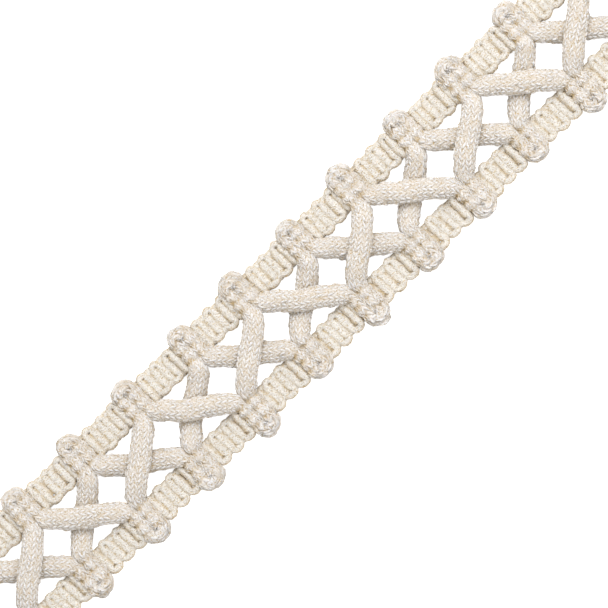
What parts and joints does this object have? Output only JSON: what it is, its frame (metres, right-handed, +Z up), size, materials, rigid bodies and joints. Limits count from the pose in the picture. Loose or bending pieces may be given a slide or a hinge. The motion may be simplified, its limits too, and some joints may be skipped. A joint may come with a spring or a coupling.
{
  "type": "length of openwork braid trim",
  "caption": "Flat cut length of openwork braid: two gimp headings joined by knitted cords crossing in a lattice, with round picots along both edges.",
  "frame": {"origin": "on the surface the braid lies on, under the middle of its length, on its centre line", "axes": "+X along the braid, +Y across it to its left edge, +Z up from the surface, towards the face that shows"},
  "size_m": [0.288, 0.0471, 0.0079],
  "materials": {
    "gimp": "matt cream gimp yarn, laid back and forth, soft and slightly fuzzy",
    "knitted_cord": "matt ivory cotton, knitted as a fine tube"
  },
  "bodies": {
    "root": {"left_heading": "gimp", "right_heading": "gimp", "over_cord": "knitted_cord", "under_cord": "knitted_cord"}
  },
  "joints": []
}
